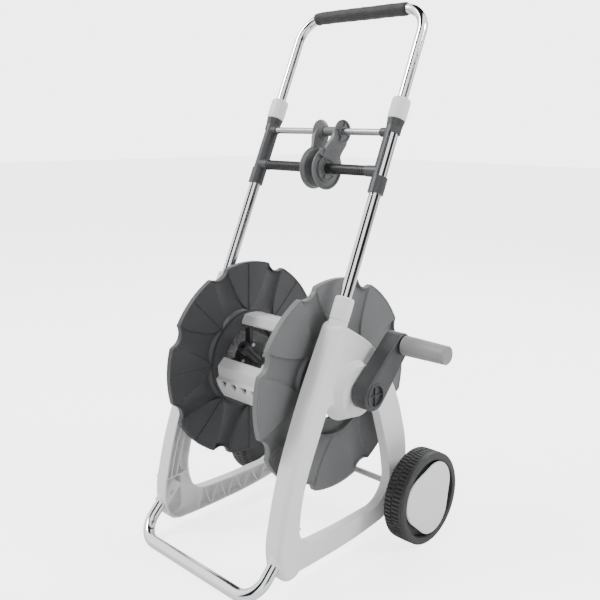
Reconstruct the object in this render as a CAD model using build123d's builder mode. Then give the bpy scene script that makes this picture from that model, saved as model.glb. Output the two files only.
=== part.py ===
"""Garden hose reel cart: a spoked hose reel between two A-shaped side frames, on two wheels and a
foot bar, with a two-stage telescopic handle that carries a hose guide.

Design frame: X across the cart (crank on +X), Y towards the wheels, Z up, floor at Z = 0. The handle
tubes meet the floor line at Y = 0. Every piece is moved by one common shift when it is written, so that
the origin is the middle of the cart's box on the floor.
"""
from build123d import *
from math import cos, radians, sin, tan
import os

os.makedirs("parts", exist_ok=True)

# Clearances
running_gap = 0.05          # radial, shaft in a bush
sliding_gap = 0.3           # radial, between telescoping tubes
seat_gap = 0.1              # between pieces that are fixed to each other
skin_overlap = 1.0          # how far a cutter runs past the face it cuts

# Handle tubes and mast
lean = 23.2                 # lean of the handle tubes from the vertical, degrees
tube_spacing = 160.0        # mid-plane to the axis of a handle tube
outer_tube_radius = 11.0
outer_tube_wall = 0.9
inner_tube_wall = 1.2
inner_tube_radius = outer_tube_radius - outer_tube_wall - sliding_gap
outer_tube_bottom = 452.0   # distances along the tube, from the floor line
outer_tube_top = 888.0
inner_tube_bottom = 762.0
top_bar_distance = 1104.0
handle_bend_radius = 52.0
grip_radius = 12.8
grip_length = 238.0
grip_offset = -7.0

# Clamp nuts and collets
nut_radius = 17.5
nut_length = 42.0
nut_lip = 6.0
sleeve_radius = 14.3
sleeve_length = 18.0
collet_length = 15.0
frame_nut_bottom = 495.0
handle_nut_bottom = 874.0

# Brackets that carry the two guide rods
bracket_bottom = 731.0
bracket_clamp_length = 32.0
bracket_radius = 14.8
rod_offset = -4.0           # the rods lie a little in front of the tube plane
guide_rod_distance = 848.0
guide_rod_radius = 6.5
ribbed_rod_distance = 772.0
ribbed_rod_radius = 10.0

# Hose guide
guide_centre = 14.0
guide_disc_radius = 41.0
guide_disc_thickness = 8.0
guide_disc_gap = 19.0       # between the two lower discs
guide_plate_radius = 25.0
guide_head_radius = 23.0
guide_lobe_radius = 18.0
guide_lobe_length = 14.0
guide_spacer_length = 31.0
guide_spacer_radius = 9.4
guide_roller_radius = 15.0

# Reel
reel_y = 234.5
reel_z = 320.5
flange_radius = 198.0
flange_rim = 12.0           # width of the rim band
flange_web = 4.0
flange_left_inner = -119.0  # inner edges of the two rims
flange_right_inner = 110.0
notch_count = 8
notch_depth = 12.0
notch_radius = 26.0
hub_ring_inner = 66.0
hub_ring_outer = 98.0
spoke_count = 4
spoke_width = 9.0
slat_count = 3
slat_first_angle = 197.0    # middle of the front slat, from +Y towards +Z
slat_outer = 88.0
slat_wall = 4.0
slat_tooth_count = 7
slat_tooth_size = 20.0
slat_screw_radius = 2.0

# Reel bearings, crank and water inlet
journal_radius = 15.0
bush_wall = 2.5
crank_inner = 182.0
crank_outer = 215.0
crank_hub_radius = 28.0
crank_end_radius = 21.5
crank_length = 110.0
crank_angle = 44.7
crank_wall = 3.5
crank_cap_radius = 22.0
crank_grip_root_radius = 18.6
crank_grip_tip_radius = 16.9
crank_grip_length = 92.0
crank_pin_radius = 5.0
inlet_radius = 9.0
inlet_reach = 232.0
inlet_bore = 5.5

# Side frames
frame_inner = 142.0         # face towards the reel
frame_plate_outer = 162.0
frame_leg_outer = 178.0
frame_wall = 3.2
frame_rib = 2.2
neck_radius = 17.2
hub_base_radius = 62.0
hub_tip_radius = 45.0
axle_boss_radius = 22.0

# Wheels
wheel_y = 372.0
wheel_radius = 89.0
wheel_outer = 243.0
wheel_width = 45.0
tyre_depth = 10.0
rim_lip = 4.0
rim_recess = 12.0
rim_web = 5.0
axle_radius = 6.0
wheel_hub_radius = 14.0
cap_corner_radius = 73.5
cap_side_radius = 61.0
cap_turn = 49.0
cap_thickness = 3.0

# Foot bar
foot_tube_radius = 11.0
foot_tube_wall = 1.2
foot_tilt = 46.0            # rise of its legs from the floor
foot_y = -6.5
foot_leg_x = 160.0
foot_bend_radius = 42.0
foot_leg_length = 112.0
foot_screw_radius = 2.5
foot_screw_distance = 92.0

lean_sin = sin(radians(lean))
lean_cos = cos(radians(lean))
x_low = -max(wheel_outer, inlet_reach)
x_high = crank_outer + crank_grip_length + 3.0
y_low = foot_y - foot_tube_radius
y_high = wheel_y + wheel_radius
common_shift = Location((-(x_low + x_high) / 2, -(y_low + y_high) / 2, 0))


def save(piece, name):
    """Moves a finished piece into the cart's own frame, labels it and writes it."""
    moved = common_shift * piece
    moved.label = name
    export_step(moved, f"parts/{name}.step")


def mast_plane(x, distance):
    """Plane across a handle tube: local Z runs up the tube, local Y points back and down."""
    return Plane(
        origin=(x, distance * lean_sin, distance * lean_cos),
        x_dir=(1, 0, 0),
        z_dir=(0, lean_sin, lean_cos),
    )


def side_plane(x):
    """Plane across the cart at x, drawn in (y, z) of the design frame."""
    return Plane(origin=(x, 0, 0), x_dir=(0, 1, 0), z_dir=(1, 0, 0))


def reel_plane(x):
    """Plane across the reel axis at x, centred on it: local X is +Y, local Y is +Z."""
    return Plane(origin=(x, reel_y, reel_z), x_dir=(0, 1, 0), z_dir=(1, 0, 0))


def wheel_plane(x):
    """Plane across the wheel axle at x, centred on it."""
    return Plane(origin=(x, wheel_y, wheel_radius), x_dir=(0, 1, 0), z_dir=(1, 0, 0))


def guide_plane(x):
    """Plane across the guide rods at x, centred on the ribbed rod: local Y runs up the mast."""
    return Plane(
        origin=(x, *rod_centre(ribbed_rod_distance)),
        x_dir=(0, lean_cos, -lean_sin),
        z_dir=(1, 0, 0),
    )


def rod_centre(distance):
    """(y, z) of a guide rod at a distance up the mast."""
    return (
        distance * lean_sin + rod_offset * lean_cos,
        distance * lean_cos - rod_offset * lean_sin,
    )


def ring(plane, length, outer, inner=0.0):
    """A plain tube or rod that starts on a plane and runs along its normal."""
    with BuildPart() as made:
        with BuildSketch(plane):
            Circle(outer)
            if inner > 0:
                Circle(inner, mode=Mode.SUBTRACT)
        extrude(amount=length)
    return made.part


sides = (("left", -1), ("right", 1))

# ---------------------------------------------------------------- foot bar
# A bent steel tube: the bar rests on the floor and its legs rise into the side frames.
foot_direction = Vector(0, cos(radians(foot_tilt)), sin(radians(foot_tilt)))


def foot_leg_plane(x, distance):
    """Plane across a leg of the foot bar, at a distance from the bar along the leg."""
    start = Vector(x, foot_y, foot_tube_radius)
    return Plane(origin=start + foot_direction * distance, x_dir=(1, 0, 0), z_dir=foot_direction)


foot_screw_point = foot_leg_plane(0, foot_screw_distance).origin
foot_plane = Plane(
    origin=(0, foot_y, foot_tube_radius),
    x_dir=(1, 0, 0),
    z_dir=(0, -sin(radians(foot_tilt)), cos(radians(foot_tilt))),
)
with BuildPart() as foot_bar:
    with BuildLine(foot_plane) as foot_path:
        FilletPolyline(
            (-foot_leg_x, foot_leg_length),
            (-foot_leg_x, 0),
            (foot_leg_x, 0),
            (foot_leg_x, foot_leg_length),
            radius=foot_bend_radius,
        )
    with BuildSketch(Plane(origin=foot_path.line @ 0, z_dir=foot_path.line % 0)):
        Circle(foot_tube_radius)
        Circle(foot_tube_radius - foot_tube_wall, mode=Mode.SUBTRACT)
    sweep()
    with BuildSketch(side_plane(-foot_leg_x - 20)):
        with Locations((foot_screw_point.Y, foot_screw_point.Z)):
            Circle(foot_screw_radius + seat_gap)
    extrude(amount=2 * foot_leg_x + 40, mode=Mode.SUBTRACT)
save(foot_bar.part, "foot_bar")

# ---------------------------------------------------------------- side frames
# Injection-moulded shells, open towards the reel: a deep front leg round the handle tube, a thinner
# rear leg and bottom bar, a domed hub for the reel and a boss for the wheel axle.
def tube_y(z):
    """Where the handle tube's axis is at a height."""
    return z * tan(radians(lean))


neck_bottom = 400.0
neck_top = frame_nut_bottom - 0.4

neck_front = (tube_y(452) - 15.6, 458)
neck_rear = (tube_y(452) + 15.0, 444)


frame_points = (
    neck_front,
    (110, 327),
    (59, 199),
    (34, 84),
    (47, 23),
    (130, 21),
    (250, 24),
    (352, 37),
    (400, 84),
    (404, 170),
    (368, 288),
    (298, 391),
    neck_rear,
)
opening_points = (
    (220, 308),
    (156, 304),
    (126, 243),
    (104, 187),
    (90, 122),
    (108, 67),
    (200, 63),
    (318, 66),
    (351, 104),
    (339, 177),
    (311, 262),
    (282, 304),
)
leg_points = (
    neck_front,
    (110, 327),
    (59, 199),
    (34, 84),
    (47, 23),
    (93, 27),
    (88, 122),
    (102, 187),
    (158, 310),
    (tube_y(380) + 24, 380),
    neck_rear,
)


def rounded(points):
    """Closed outline of straight lines whose corners are rounded with the largest arcs that fit."""
    radii = []
    for index, corner in enumerate(points):
        before = Vector(corner) - Vector(points[index - 1])
        after = Vector(points[(index + 1) % len(points)]) - Vector(corner)
        turn = radians(before.get_angle(after))
        radii.append(0.46 * min(before.length, after.length) / tan(turn / 2))
    return FilletPolyline(*points, radius=radii, close=True)


def profile_face(points, inset):
    """Face inside a rounded outline, shrunk by an inset (grown if negative), drawn in (y, z)."""
    with BuildSketch() as profile:
        with BuildLine():
            rounded(points)
        make_face()
        if inset:
            offset(amount=-inset, kind=Kind.ARC, mode=Mode.REPLACE)
    return profile.sketch


def frame_profile(inset):
    """Outer outline of a side frame."""
    return profile_face(frame_points, inset)


def opening_profile(outset):
    """Triangular opening of a side frame, grown by an outset."""
    return profile_face(opening_points, -outset)


def leg_profile(inset):
    """Outline of the deep front leg, from the foot to the neck."""
    return profile_face(leg_points, inset)


# what passes through the shells
tube_bore = outer_tube_radius + sliding_gap
tube_park = 268.0           # lowest point that the outer tube reaches
socket_radius = foot_tube_radius + 3.0
socket_start = 66.0
bush_radius = journal_radius + bush_wall + seat_gap
hub_boss_radius = bush_radius + 3.5
rib_lines = (
    ((118, 18), (134, 70), (152, 18), (172, 68), (194, 18), (216, 68), (238, 18), (260, 70), (284, 18)),
    ((284, 18), (308, 72), (334, 24), (356, 74)),
    ((338, 60), (398, 130), (346, 150), (398, 190), (334, 205), (380, 250), (312, 262), (345, 310)),
    ((290, 300), (330, 335), (250, 372), (275, 405)),
)
leg_rib_lines = (
    ((54, 112), (62, 150), (70, 178), (93, 236)),
    ((66, 112), (76, 150), (84, 178), (108, 236)),
    ((30, 108), (96, 114)),
)

with BuildPart() as right_side_frame:
    # outer skin: plate with its opening, then the deep leg and the hub dome
    with BuildSketch(side_plane(frame_inner)):
        add(frame_profile(0))
    extrude(amount=frame_plate_outer - frame_inner)
    fillet(right_side_frame.faces().sort_by(Axis.X)[-1].outer_wire().edges(), 5.0)
    with BuildSketch(side_plane(frame_inner - skin_overlap)):
        add(opening_profile(0))
    extrude(amount=frame_plate_outer - frame_inner + 2 * skin_overlap, mode=Mode.SUBTRACT)
    with BuildPart(mode=Mode.PRIVATE) as leg:
        with BuildSketch(side_plane(frame_inner)):
            add(leg_profile(0))
        extrude(amount=frame_leg_outer - frame_inner)
        fillet(leg.faces().sort_by(Axis.X)[-1].outer_wire().edges(), 11.0)
    add(leg.part)
    with BuildSketch(reel_plane(frame_inner)):
        Circle(hub_base_radius)
    extrude(amount=frame_leg_outer - frame_inner, taper=24.0)
    # inside is hollow, open towards the reel
    with BuildSketch(side_plane(frame_inner - skin_overlap)):
        add(frame_profile(frame_wall))
        add(opening_profile(frame_wall), mode=Mode.SUBTRACT)
    extrude(amount=frame_plate_outer - frame_wall - frame_inner + skin_overlap, mode=Mode.SUBTRACT)
    with BuildPart(mode=Mode.PRIVATE) as leg_hollow:
        with BuildSketch(side_plane(frame_inner - skin_overlap)):
            add(leg_profile(frame_wall + 1.5))
        extrude(amount=frame_leg_outer - frame_wall - frame_inner + skin_overlap)
        fillet(leg_hollow.faces().sort_by(Axis.X)[-1].outer_wire().edges(), 8.0)
    add(leg_hollow.part, mode=Mode.SUBTRACT)
    with BuildSketch(reel_plane(frame_inner - skin_overlap)):
        Circle(hub_base_radius - frame_wall)
    extrude(amount=frame_leg_outer - frame_wall - frame_inner + skin_overlap, taper=24.0, mode=Mode.SUBTRACT)
    # stiffening ribs, wavy in the bar and the rear leg, long in the front leg
    with BuildSketch(side_plane(frame_inner + 2)):
        for rib_line in rib_lines:
            with BuildLine():
                Polyline(*rib_line)
            trace(line_width=frame_rib)
        add(frame_profile(frame_wall / 2), mode=Mode.INTERSECT)
        add(opening_profile(frame_wall / 2), mode=Mode.SUBTRACT)
    extrude(amount=frame_plate_outer - frame_inner - 2 - frame_wall / 2)
    with BuildSketch(side_plane(frame_inner + 2)):
        for rib_line in leg_rib_lines:
            with BuildLine():
                Polyline(*rib_line)
            trace(line_width=frame_rib)
        add(leg_profile(frame_wall / 2), mode=Mode.INTERSECT)
    extrude(amount=frame_leg_outer - frame_inner - 2 - frame_wall / 2)
    # hub boss with its radial ribs
    with BuildSketch(reel_plane(frame_inner + 1)):
        Circle(hub_boss_radius)
    extrude(amount=frame_leg_outer - frame_inner - 1)
    with BuildSketch(reel_plane(frame_inner + 8)):
        with PolarLocations(0, 8, start_angle=22.5):
            with Locations(((hub_boss_radius + hub_tip_radius) / 2, 0)):
                Rectangle(hub_tip_radius - hub_boss_radius + 2, frame_rib)
    extrude(amount=frame_leg_outer - frame_wall / 2 - frame_inner - 8)
    # neck and threaded sleeve round the handle tube
    with BuildSketch(mast_plane(tube_spacing, neck_bottom)):
        Circle(neck_radius)
    extrude(amount=neck_top - neck_bottom)
    with BuildSketch(mast_plane(tube_spacing, neck_top)):
        Circle(sleeve_radius)
    extrude(amount=sleeve_length)
    # socket for the foot bar, and boss for the wheel axle
    with BuildSketch(foot_leg_plane(foot_leg_x, socket_start)):
        Circle(socket_radius)
    extrude(amount=foot_leg_length + 3 - socket_start)
    with BuildSketch(wheel_plane(frame_inner)):
        Circle(axle_boss_radius)
    extrude(amount=frame_plate_outer - frame_inner)
    with BuildSketch(wheel_plane(frame_plate_outer)):
        Circle(axle_boss_radius - 5)
    extrude(amount=wheel_outer - wheel_width - 8 - frame_plate_outer)
    # bores for the handle tube, the foot bar and its screw, the reel and the axle
    with BuildSketch(mast_plane(tube_spacing, tube_park)):
        Circle(tube_bore)
    extrude(amount=neck_top + sleeve_length + 1 - tube_park, mode=Mode.SUBTRACT)
    with BuildSketch(foot_leg_plane(foot_leg_x, 30)):
        Circle(foot_tube_radius + seat_gap)
    extrude(amount=foot_leg_length - 30, mode=Mode.SUBTRACT)
    with BuildSketch(side_plane(frame_inner - skin_overlap)):
        with Locations((foot_screw_point.Y, foot_screw_point.Z)):
            Circle(foot_screw_radius + seat_gap)
    extrude(amount=34, mode=Mode.SUBTRACT)
    with BuildSketch(reel_plane(frame_inner - skin_overlap)):
        Circle(bush_radius)
    extrude(amount=frame_leg_outer - frame_inner + 3, mode=Mode.SUBTRACT)
    with BuildSketch(wheel_plane(frame_inner - skin_overlap)):
        Circle(axle_radius + seat_gap)
    extrude(amount=wheel_outer - wheel_width - frame_inner, mode=Mode.SUBTRACT)
save(right_side_frame.part, "right_side_frame")
save(mirror(right_side_frame.part, about=Plane.YZ), "left_side_frame")

# Screws that hold the foot bar in its sockets, put in from the open side.
screw_start = foot_leg_x - socket_radius - 3.2
with BuildPart() as foot_screw:
    with BuildSketch(side_plane(screw_start)):
        with Locations((foot_screw_point.Y, foot_screw_point.Z)):
            Circle(foot_screw_radius * 1.8)
    extrude(amount=3)
    with BuildSketch(side_plane(screw_start)):
        with Locations((foot_screw_point.Y, foot_screw_point.Z)):
            Circle(foot_screw_radius)
    extrude(amount=28)
save(Compound(children=[foot_screw.part, mirror(foot_screw.part, about=Plane.YZ)]), "foot_bar_screws")


# ---------------------------------------------------------------- clamp nuts, collets and outer tubes
def clamp_nut(x, bottom, hole):
    """Smooth nut over a threaded sleeve: wide bore below, a lip with a smaller hole on top."""
    with BuildPart() as nut:
        with BuildSketch(mast_plane(x, bottom)):
            Circle(nut_radius)
        extrude(amount=nut_length)
        chamfer(nut.edges().filter_by(GeomType.CIRCLE), 1.5)
        with BuildSketch(mast_plane(x, bottom)):
            Circle(sleeve_radius + sliding_gap)
        extrude(amount=nut_length - nut_lip, mode=Mode.SUBTRACT)
        with BuildSketch(mast_plane(x, bottom)):
            Circle(hole)
        extrude(amount=nut_length, mode=Mode.SUBTRACT)
    return nut.part


def collet(x, bottom, hole):
    """Slit plastic ring that a clamp nut squeezes onto the tube inside it."""
    with BuildPart() as made:
        with BuildSketch(mast_plane(x, bottom)):
            Circle(sleeve_radius)
            Circle(hole, mode=Mode.SUBTRACT)
        extrude(amount=collet_length)
        with BuildSketch(mast_plane(x, bottom + collet_length / 3)):
            Rectangle(2 * nut_radius, 1.6)
            Rectangle(1.6, 2 * nut_radius)
        extrude(amount=collet_length, mode=Mode.SUBTRACT)
    return made.part


bracket_tube_gap = outer_tube_radius + seat_gap
rod_bosses = ((ribbed_rod_distance, 10.8, 14.0), (guide_rod_distance, 8.7, 7.0))
rod_end = tube_spacing - 13.0


def bracket(x):
    """Moulding clamped on an outer tube: clamp ring, half shell, collar and threaded sleeve."""
    inwards = -1 if x > 0 else 1
    with BuildPart() as made:
        with BuildSketch(mast_plane(x, bracket_bottom)):
            Circle(bracket_radius)
        extrude(amount=handle_nut_bottom - 14 - bracket_bottom)
        with BuildSketch(mast_plane(x, bracket_bottom + bracket_clamp_length)):
            with Locations((-inwards * (bracket_radius + 3), 0)):
                Rectangle(2 * bracket_radius, 3 * bracket_radius)
        extrude(amount=handle_nut_bottom - 26 - bracket_bottom - bracket_clamp_length, mode=Mode.SUBTRACT)
        with BuildSketch(mast_plane(x, handle_nut_bottom - 14)):
            Circle(bracket_radius)
        with BuildSketch(mast_plane(x, handle_nut_bottom - 0.4)):
            Circle(nut_radius - 0.8)
        loft()
        with BuildSketch(mast_plane(x, handle_nut_bottom - 0.4)):
            Circle(sleeve_radius)
        extrude(amount=sleeve_length)
        for distance, radius, reach in rod_bosses:
            with BuildSketch(side_plane(x)):
                with Locations(rod_centre(distance)):
                    Circle(radius)
            extrude(amount=inwards * (bracket_radius + reach))
            with BuildSketch(side_plane(-inwards * rod_end)):
                with Locations(rod_centre(distance)):
                    Circle(guide_rod_radius + seat_gap)
            extrude(amount=inwards * 40, mode=Mode.SUBTRACT)
        with BuildSketch(mast_plane(x, bracket_bottom - 1)):
            Circle(bracket_tube_gap)
        extrude(amount=handle_nut_bottom + sleeve_length + 2 - bracket_bottom, mode=Mode.SUBTRACT)
    return made.part


for side, sign in sides:
    x = sign * tube_spacing
    save(clamp_nut(x, frame_nut_bottom, outer_tube_radius + sliding_gap), f"{side}_frame_nut")
    save(collet(x, neck_top + sleeve_length + 0.4, outer_tube_radius + sliding_gap), f"{side}_frame_collet")
    tube_length = outer_tube_top - outer_tube_bottom
    tube_hole = outer_tube_radius - outer_tube_wall
    outer_tube = ring(mast_plane(x, outer_tube_bottom), tube_length, outer_tube_radius, tube_hole)
    save(outer_tube, f"{side}_outer_tube")
    save(bracket(x), f"{side}_bracket")
    save(clamp_nut(x, handle_nut_bottom, inner_tube_radius + sliding_gap), f"{side}_handle_nut")
    handle_collet = collet(x, handle_nut_bottom + sleeve_length, inner_tube_radius + sliding_gap)
    save(handle_collet, f"{side}_handle_collet")

# ---------------------------------------------------------------- handle
# One bent steel tube in the shape of a U upside down, with a foam sleeve on its cross bar.
handle_plane = Plane(origin=(0, 0, 0), x_dir=(1, 0, 0), z_dir=(0, -lean_cos, lean_sin))
with BuildPart() as handle_tube:
    with BuildLine(handle_plane) as handle_path:
        FilletPolyline(
            (-tube_spacing, inner_tube_bottom),
            (-tube_spacing, top_bar_distance),
            (tube_spacing, top_bar_distance),
            (tube_spacing, inner_tube_bottom),
            radius=handle_bend_radius,
        )
    with BuildSketch(Plane(origin=handle_path.line @ 0, z_dir=handle_path.line % 0)):
        Circle(inner_tube_radius)
        Circle(inner_tube_radius - inner_tube_wall, mode=Mode.SUBTRACT)
    sweep()
save(handle_tube.part, "handle_tube")

bend_x = tube_spacing - handle_bend_radius
grip_right = grip_offset + grip_length / 2
grip_turn = 20.0            # how far the sleeve reaches round the left bend, degrees
with BuildPart() as handle_grip:
    with BuildLine(handle_plane) as grip_path:
        Line((grip_right, top_bar_distance), (-bend_x, top_bar_distance))
        CenterArc((-bend_x, top_bar_distance - handle_bend_radius), handle_bend_radius, 90, grip_turn)
    with BuildSketch(Plane(origin=grip_path.line @ 0, z_dir=grip_path.line % 0)):
        Circle(grip_radius)
        Circle(inner_tube_radius + 2 * seat_gap, mode=Mode.SUBTRACT)
    sweep()
save(handle_grip.part, "handle_grip")

# ---------------------------------------------------------------- hose guide on its two rods
guide_rod_point = rod_centre(guide_rod_distance)
ribbed_rod_point = rod_centre(ribbed_rod_distance)
guide_rod_plane = Plane(origin=(-rod_end + 1, *guide_rod_point), x_dir=(0, 1, 0), z_dir=(1, 0, 0))
save(ring(guide_rod_plane, 2 * rod_end - 2, guide_rod_radius), "guide_rod")

rib_pitch = 5.0
ribbed_half = tube_spacing - bracket_radius - rod_bosses[0][2] - 0.6
rib_count = int(2 * (ribbed_half - 2) / rib_pitch)
with BuildPart() as ribbed_rod:
    with BuildSketch(Plane(origin=(-ribbed_half, *ribbed_rod_point), x_dir=(0, 1, 0), z_dir=(1, 0, 0))):
        Circle(ribbed_rod_radius)
    extrude(amount=2 * ribbed_half)
    for index in range(rib_count):
        groove_x = (index - (rib_count - 1) / 2) * rib_pitch - 1
        with BuildSketch(Plane(origin=(groove_x, *ribbed_rod_point), x_dir=(0, 1, 0), z_dir=(1, 0, 0))):
            Circle(ribbed_rod_radius + 1)
            Circle(ribbed_rod_radius - 0.8, mode=Mode.SUBTRACT)
        extrude(amount=2, mode=Mode.SUBTRACT)
    with BuildSketch(Plane(origin=(-rod_end + 1, *ribbed_rod_point), x_dir=(0, 1, 0), z_dir=(1, 0, 0))):
        Circle(guide_rod_radius)
    extrude(amount=2 * rod_end - 2)
save(ribbed_rod.part, "guide_ribbed_rod")

lobe_up = guide_rod_distance - ribbed_rod_distance
disc_near = guide_disc_gap / 2
disc_far = disc_near + guide_disc_thickness
lobe_near = guide_spacer_length / 2
lobe_far = lobe_near + guide_lobe_length


def guide_cone(side, up, near, far, inner, outer):
    """Flared disc round a guide rod: it widens from near to far and ends in a rim 2 mm thick."""
    plane = guide_plane(guide_centre)
    with BuildPart() as made:
        with BuildSketch(plane.offset(side * near)):
            with Locations((0, up)):
                Circle(inner)
        with BuildSketch(plane.offset(side * (far - 2))):
            with Locations((0, up)):
                Circle(outer)
        loft()
        with BuildSketch(plane.offset(side * (far - 2))):
            with Locations((0, up)):
                Circle(outer)
        extrude(amount=side * 2)
    return made.part


def guide_cheek(side):
    """Keyhole plate that steps outwards between its two rods, with a flared disc round each rod."""
    front_plane = Plane(
        origin=guide_plane(guide_centre).origin,
        x_dir=(1, 0, 0),
        z_dir=(0, -lean_cos, lean_sin),
    )
    with BuildPart() as cheek:
        with BuildSketch(guide_plane(guide_centre)):
            Circle(guide_plate_radius)
            with Locations((0, lobe_up)):
                Circle(guide_lobe_radius)
            make_hull()
        extrude(amount=side * (lobe_far + 1))
        with BuildSketch(front_plane):
            with BuildLine():
                Polyline(
                    (side * disc_near, -guide_disc_radius - 2),
                    (side * disc_far, -guide_disc_radius - 2),
                    (side * disc_far, 16),
                    (side * (disc_far + 5), 40),
                    (side * lobe_far, lobe_up - guide_lobe_radius - 2),
                    (side * lobe_far, lobe_up + guide_lobe_radius + 2),
                    (side * (lobe_far - 7), lobe_up + guide_lobe_radius + 2),
                    (side * (lobe_far - 8), lobe_up - guide_lobe_radius),
                    (side * (disc_near + 6), 38),
                    (side * disc_near, 20),
                    close=True,
                )
            make_face()
        extrude(amount=guide_disc_radius + 2, both=True, mode=Mode.INTERSECT)
        add(guide_cone(side, 0, disc_near, disc_far, guide_disc_radius - 5, guide_disc_radius))
        add(guide_cone(side, lobe_up, lobe_near, lobe_far, guide_spacer_radius + 2, guide_head_radius))
        # groove round the lower disc and shallow pockets in the plate's outer face, split by ribs
        with BuildSketch(guide_plane(guide_centre + side * disc_far)):
            Circle(guide_disc_radius - 3)
            Circle(guide_plate_radius, mode=Mode.SUBTRACT)
            with Locations((0, guide_disc_radius + 10)):
                Rectangle(2 * guide_disc_radius, 2 * guide_disc_radius - 14, mode=Mode.SUBTRACT)
        extrude(amount=-side * 4.5, mode=Mode.SUBTRACT)
        with BuildSketch(guide_plane(guide_centre + side * disc_far)):
            Circle(guide_plate_radius - 2.5)
            Circle(ribbed_rod_radius + 3, mode=Mode.SUBTRACT)
            with Locations((0, guide_disc_radius + 10)):
                Rectangle(2 * guide_disc_radius, 2 * guide_disc_radius - 14, mode=Mode.SUBTRACT)
            with PolarLocations(guide_plate_radius / 2, 5, -90):
                Rectangle(guide_plate_radius, 2, mode=Mode.SUBTRACT)
        extrude(amount=-side * 2.0, mode=Mode.SUBTRACT)
        with BuildSketch(guide_plane(guide_centre + side * lobe_far)):
            with Locations((0, lobe_up)):
                Circle(guide_head_radius - 3)
                Circle(guide_rod_radius + 3.5, mode=Mode.SUBTRACT)
            with Locations((0, lobe_up)):
                Rectangle(2 * guide_head_radius, 2, mode=Mode.SUBTRACT)
                Rectangle(2, 2 * guide_head_radius, mode=Mode.SUBTRACT)
        extrude(amount=-side * 2.5, mode=Mode.SUBTRACT)
        with BuildSketch(guide_plane(guide_centre)):
            Circle(ribbed_rod_radius + sliding_gap)
            with Locations((0, lobe_up)):
                Circle(guide_rod_radius + sliding_gap)
        extrude(amount=side * (lobe_far + 2), mode=Mode.SUBTRACT)
        with BuildSketch(guide_plane(guide_centre + side * lobe_near)):
            with Locations((0, lobe_up)):
                Circle(guide_spacer_radius + seat_gap)
        extrude(amount=side * 4, mode=Mode.SUBTRACT)
    return cheek.part


for side, sign in sides:
    save(guide_cheek(sign), f"guide_{side}_cheek")
with BuildPart() as guide_spacer:
    with BuildSketch(guide_plane(guide_centre - lobe_near - 3.8)):
        with Locations((0, lobe_up)):
            Circle(guide_spacer_radius)
            Circle(guide_rod_radius + sliding_gap, mode=Mode.SUBTRACT)
    extrude(amount=guide_spacer_length + 7.6)
save(guide_spacer.part, "guide_spacer")
roller_length = guide_disc_gap - 2 * sliding_gap
with BuildPart() as guide_roller:
    with BuildSketch(guide_plane(guide_centre - roller_length / 2)):
        Circle(guide_roller_radius)
        Circle(ribbed_rod_radius + sliding_gap, mode=Mode.SUBTRACT)
    extrude(amount=roller_length)
    chamfer(guide_roller.edges().filter_by(GeomType.CIRCLE).sort_by(SortBy.RADIUS)[-2:], 2.0)
save(guide_roller.part, "guide_roller")

# ---------------------------------------------------------------- reel
# Both flanges have the same shape. It is drawn once with X = 0 on the inner edge of its rim and +X
# pointing away from the drum, then moved to the right and mirrored to the left.
boss_radius = 22.0
rim_wall = 3.5
hub_wall = 3.0
hub_plate = 4.0
hub_step = 6.0              # how far the hub ring stands in front of the rim
hub_screw_circle = 28.0
slat_screw_turns = ((81.5, -13.0), (88.5, 14.0))
slat_screw_spots = [
    (radius, slat_first_angle + 360.0 / slat_count * index + turn)
    for index in range(slat_count)
    for radius, turn in slat_screw_turns
]
lobe_angle = 360.0 / notch_count


def reel_point(radius, angle):
    """(local X, local Y) of a point on the reel plane."""
    return (radius * cos(radians(angle)), radius * sin(radians(angle)))


def flange_outline(inset):
    """Disc with shallow round notches in its edge, shrunk by an inset."""
    with BuildSketch() as outline:
        Circle(flange_radius)
        with PolarLocations(flange_radius + notch_radius - notch_depth, notch_count, lobe_angle / 2):
            Circle(notch_radius, mode=Mode.SUBTRACT)
        fillet(outline.vertices(), 5.0)
        if inset:
            offset(amount=-inset, kind=Kind.ARC, mode=Mode.REPLACE)
    return outline.sketch


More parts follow.
